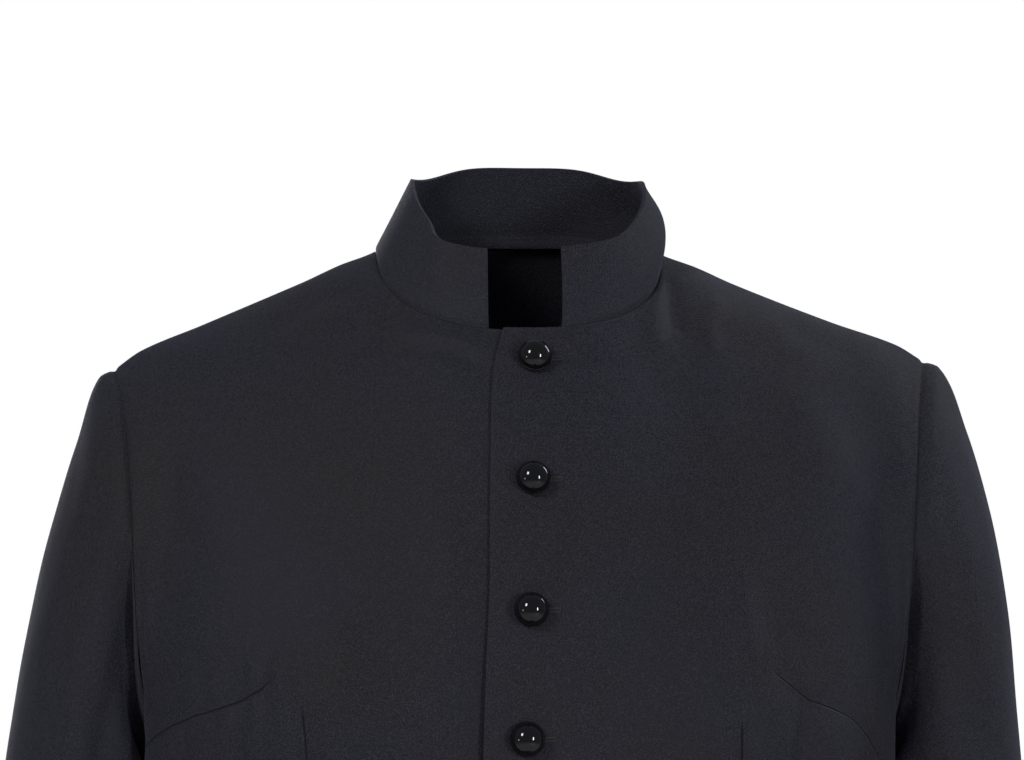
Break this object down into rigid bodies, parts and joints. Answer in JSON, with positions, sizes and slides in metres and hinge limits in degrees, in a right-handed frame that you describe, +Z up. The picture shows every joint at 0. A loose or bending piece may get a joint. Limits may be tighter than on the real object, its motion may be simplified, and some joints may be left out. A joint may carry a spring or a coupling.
{
  "type": "clergy robe",
  "caption": "Full-length robe with long set-in sleeves, a notched stand collar and a buttoned front, held in its worn hollow form.",
  "frame": {"origin": "middle of the neck base, level with the points where the collar meets the shoulder seams", "axes": "+Z up along the wearer, +X to the wearer's left, +Y to the wearer's back"},
  "size_m": [0.6772, 0.4667, 1.4555],
  "materials": {
    "robe_cloth": "black fine twill, low sheen",
    "collar_cloth": "black fine twill over a firm band",
    "buttons": "polished black"
  },
  "bodies": {
    "root": {"front_left": "robe_cloth", "front_right": "robe_cloth", "back": "robe_cloth", "sleeve_left": "robe_cloth", "sleeve_right": "robe_cloth", "collar": "collar_cloth", "button_01": "buttons", "button_02": "buttons", "button_03": "buttons", "button_04": "buttons", "button_05": "buttons", "button_06": "buttons", "button_07": "buttons", "button_08": "buttons", "button_09": "buttons", "button_10": "buttons", "button_11": "buttons", "button_12": "buttons", "button_13": "buttons", "button_14": "buttons", "button_15": "buttons", "button_16": "buttons", "button_17": "buttons"}
  },
  "joints": []
}
